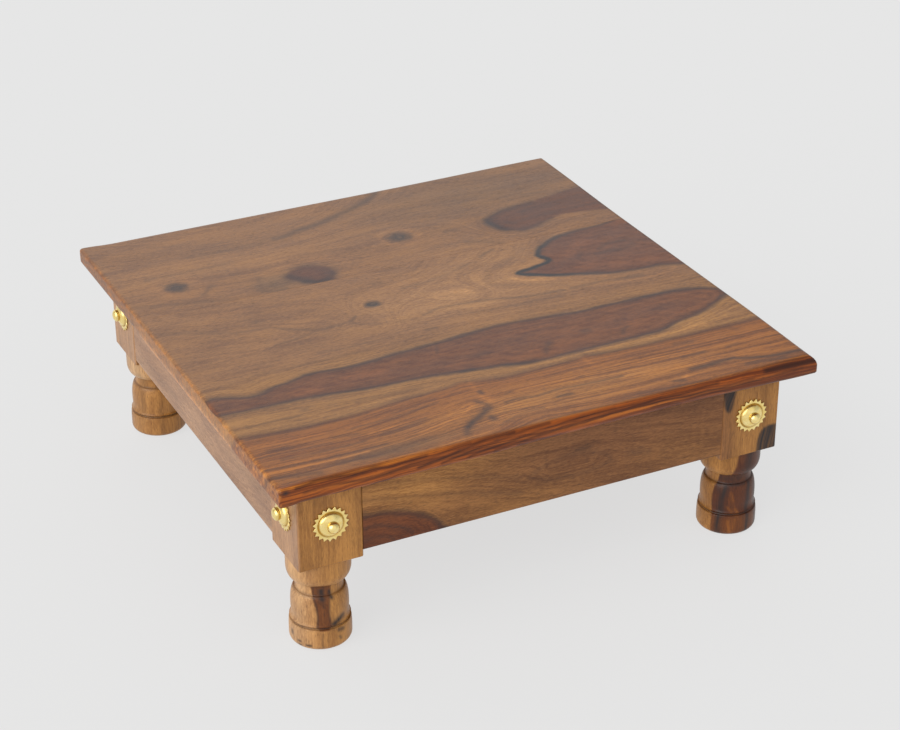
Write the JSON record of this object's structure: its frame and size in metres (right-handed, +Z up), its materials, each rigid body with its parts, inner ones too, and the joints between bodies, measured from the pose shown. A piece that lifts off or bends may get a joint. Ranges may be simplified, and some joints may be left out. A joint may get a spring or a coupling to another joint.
{
  "type": "low table",
  "caption": "Low square wooden table (bajot): overhanging top on aprons, turned feet below square head blocks, brass rosettes nailed to the blocks.",
  "frame": {"origin": "on the floor, under the middle of the square top", "axes": "+Z up; +X to the right along the grain of the top; +Y towards the edge with the narrow board, which is the back"},
  "size_m": [0.381, 0.381, 0.137],
  "materials": {
    "top_front_wood": "clear satin lacquer over figured rosewood",
    "top_back_wood": "clear satin lacquer over paler, greyer rosewood",
    "apron_wood": "clear satin lacquer over rosewood",
    "leg_wood": "clear satin lacquer over turned rosewood",
    "brace_wood": "bare planed wood",
    "brass": "bright pressed brass",
    "steel": "plain zinc-grey screws"
  },
  "bodies": {
    "root": {"top_board_front": "top_front_wood", "top_board_back": "top_back_wood", "apron_front": "apron_wood", "apron_right": "apron_wood", "apron_back": "apron_wood", "apron_left": "apron_wood", "leg_front_left": "leg_wood", "leg_front_right": "leg_wood", "leg_back_right": "leg_wood", "leg_back_left": "leg_wood", "rosette_front_left_front_face": "brass", "rosette_front_right_front_face": "brass", "rosette_front_right_right_face": "brass", "rosette_back_right_right_face": "brass", "rosette_back_right_back_face": "brass", "rosette_back_left_back_face": "brass", "rosette_back_left_left_face": "brass", "rosette_front_left_left_face": "brass", "nail_front_left_front_face": "brass", "nail_front_right_front_face": "brass", "nail_front_right_right_face": "brass", "nail_back_right_right_face": "brass", "nail_back_right_back_face": "brass", "nail_back_left_back_face": "brass", "nail_back_left_left_face": "brass", "nail_front_left_left_face": "brass", "brace_front_left": "brace_wood", "brace_front_right": "brace_wood", "brace_back_right": "brace_wood", "brace_back_left": "brace_wood", "leg_screw_front_left": "steel", "leg_screw_front_right": "steel", "leg_screw_back_right": "steel", "leg_screw_back_left": "steel", "top_screw_front_left_1": "steel", "top_screw_front_left_2": "steel", "top_screw_front_right_1": "steel", "top_screw_front_right_2": "steel", "top_screw_back_right_1": "steel", "top_screw_back_right_2": "steel", "top_screw_back_left_1": "steel", "top_screw_back_left_2": "steel"}
  },
  "joints": []
}
